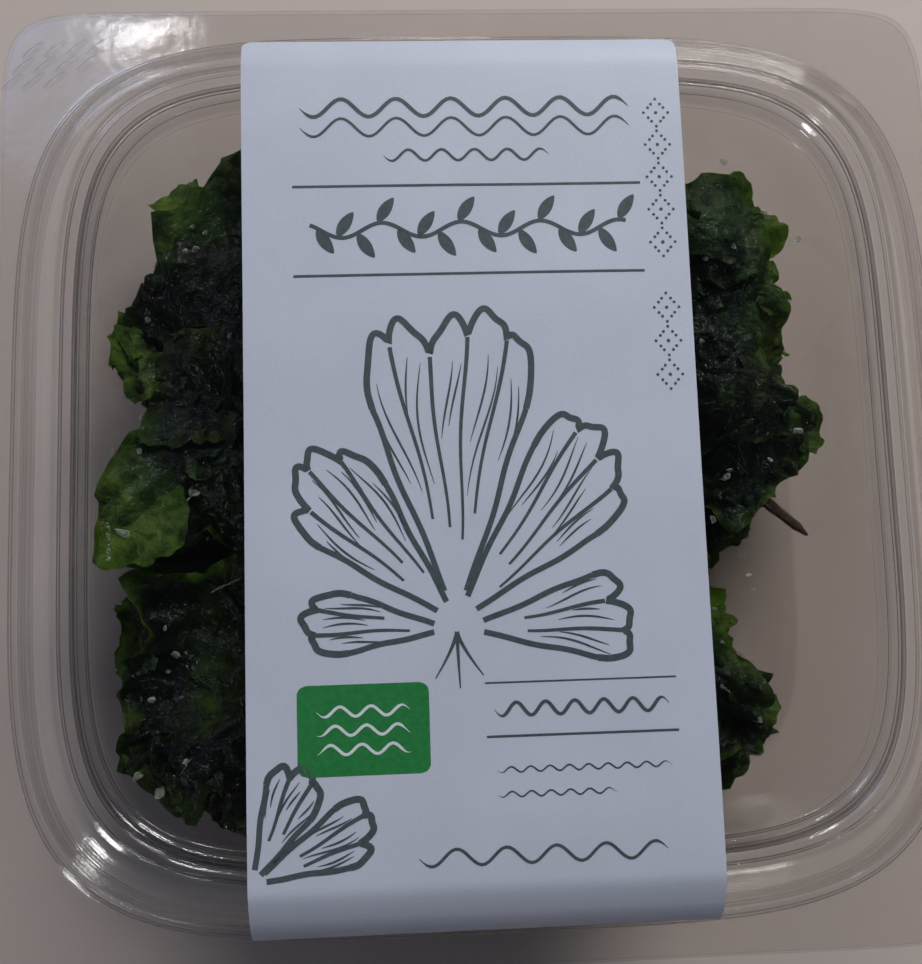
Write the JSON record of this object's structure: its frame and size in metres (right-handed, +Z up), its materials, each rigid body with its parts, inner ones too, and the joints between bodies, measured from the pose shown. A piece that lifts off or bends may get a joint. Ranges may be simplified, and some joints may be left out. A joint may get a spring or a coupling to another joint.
{
  "type": "packed sea lettuce",
  "caption": "Crumpled, ruffled dark green sea lettuce blades packed in a shallow clear square tub with round corners, a clear press-on lid and a plain paper band over it.",
  "frame": {"origin": "centre of the tub's flat underside, at the middle of the square flange", "axes": "+Z up, +Y towards the back edge, where the top end of the paper band lies, +X to the right seen from above"},
  "size_m": [0.12, 0.12, 0.0285],
  "materials": {
    "clear_plastic": "polished",
    "label_paper": "matte",
    "sea_lettuce": "gloss",
    "stalk": "satin"
  },
  "bodies": {
    "root": {"tub": "clear_plastic", "lid": "clear_plastic", "label_band": "label_paper", "stalk_fragment": "stalk", "frond_01": "sea_lettuce", "frond_02": "sea_lettuce", "frond_03": "sea_lettuce", "frond_04": "sea_lettuce", "frond_05": "sea_lettuce", "frond_06": "sea_lettuce", "frond_07": "sea_lettuce", "frond_08": "sea_lettuce", "frond_09": "sea_lettuce", "frond_10": "sea_lettuce", "frond_11": "sea_lettuce", "frond_12": "sea_lettuce", "frond_13": "sea_lettuce", "frond_14": "sea_lettuce", "frond_15": "sea_lettuce", "frond_16": "sea_lettuce", "frond_17": "sea_lettuce", "frond_18": "sea_lettuce"}
  },
  "joints": []
}
